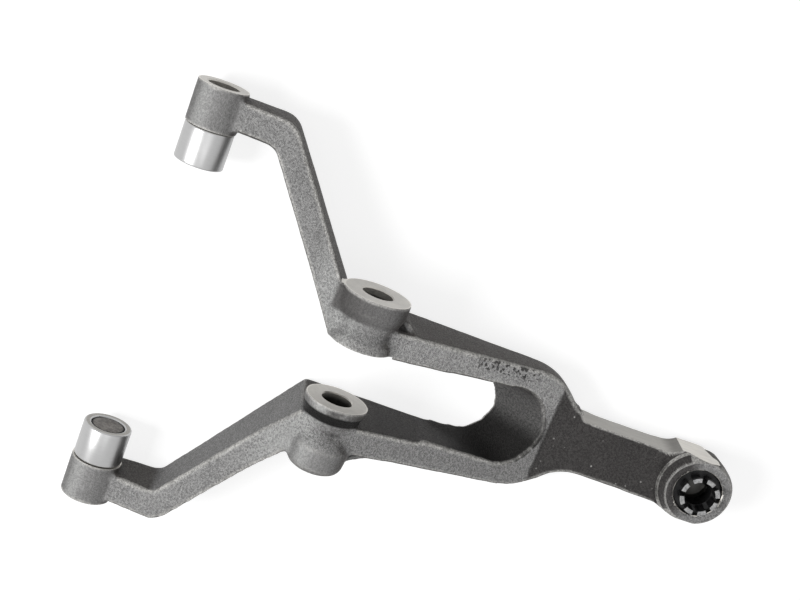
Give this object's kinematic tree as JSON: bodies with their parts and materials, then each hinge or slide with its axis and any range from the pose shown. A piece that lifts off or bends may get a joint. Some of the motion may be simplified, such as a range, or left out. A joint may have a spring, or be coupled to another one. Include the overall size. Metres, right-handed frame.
{
  "type": "clutch fork",
  "caption": "Forged clutch release lever: a pivoted yoke whose splayed prongs carry rollers for the release bearing, and whose lever end holds a snap-in ball socket for the push rod.",
  "frame": {"origin": "under the middle of the fork, on the plane of its flat back", "axes": "+Z out of the flat back towards the pivot bosses, +Y along the lever towards the rod socket, +X across the prongs along the pivot axis"},
  "size_m": [0.1996, 0.2906, 0.0523],
  "materials": {
    "forging": "shot-blasted forging with bright machined faces",
    "pin": "turned steel",
    "roller": "ground and polished steel",
    "clip": "moulded black plastic"
  },
  "bodies": {
    "fork": {"fork_body": "forging", "pin_left": "pin", "pin_right": "pin", "rod_clip": "clip"},
    "left_roller": {"roller_left": "roller"},
    "right_roller": {"roller_right": "roller"}
  },
  "joints": [
    {"name": "left_roller_spin", "type": "hinge", "parent": "fork", "child": "left_roller", "pos_m": [-0.0726, -0.13385, 0.0154], "axis": [1, 0, 0], "continuous": true},
    {"name": "right_roller_spin", "type": "hinge", "parent": "fork", "child": "right_roller", "pos_m": [0.0726, -0.13385, 0.0154], "axis": [1, 0, 0], "continuous": true}
  ]
}
